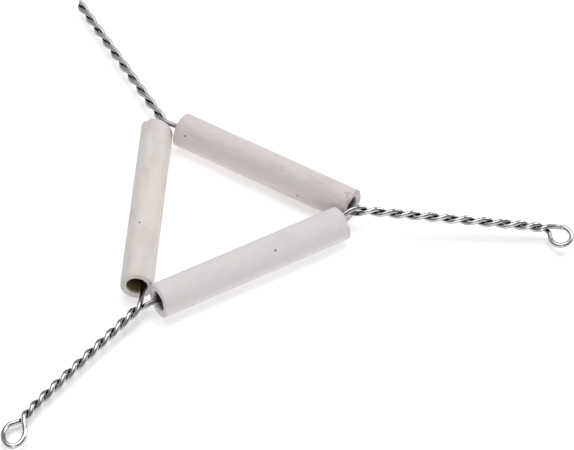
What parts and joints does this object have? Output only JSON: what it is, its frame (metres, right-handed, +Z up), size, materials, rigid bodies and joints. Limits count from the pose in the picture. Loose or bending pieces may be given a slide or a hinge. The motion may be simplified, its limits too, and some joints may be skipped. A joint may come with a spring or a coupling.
{
  "type": "pipe clay triangle",
  "caption": "Triangle of clay tubes threaded on a twisted steel wire whose legs run out from the corners, two ending in an eyelet; carries a crucible over a burner.",
  "frame": {"origin": "middle of the triangle of tubes, on the surface that the tubes lie on", "axes": "+Z up out of the surface; +X along the leg that points right; the other two legs point left and near, and left and far"},
  "size_m": [0.1525, 0.1757, 0.01],
  "materials": {
    "wire": "galvanised steel wire, dull silver, darker in the twists, faint rust near the right eyelet",
    "left_clay": "matt unglazed pipe clay, off-white, with a brown stain in the bore",
    "near_clay": "matt unglazed pipe clay, pale greyish lilac",
    "far_clay": "matt unglazed pipe clay, pale pinkish grey"
  },
  "bodies": {
    "wire": {"wire_frame": "wire"},
    "left": {"left_tube": "left_clay"},
    "near": {"near_tube": "near_clay"},
    "far": {"far_tube": "far_clay"}
  },
  "joints": [
    {"name": "left_tube_turn", "type": "hinge", "parent": "wire", "child": "left", "pos_m": [-0.02116, 0.00065, 0.00465], "axis": [-0.0122, -0.9999, 0], "continuous": true},
    {"name": "near_tube_turn", "type": "hinge", "parent": "wire", "child": "near", "pos_m": [0.00907, -0.0192, 0.005], "axis": [0.8316, 0.5554, 0], "continuous": true},
    {"name": "far_tube_turn", "type": "hinge", "parent": "wire", "child": "far", "pos_m": [0.01166, 0.01828, 0.005], "axis": [-0.8708, 0.4917, 0], "continuous": true}
  ]
}
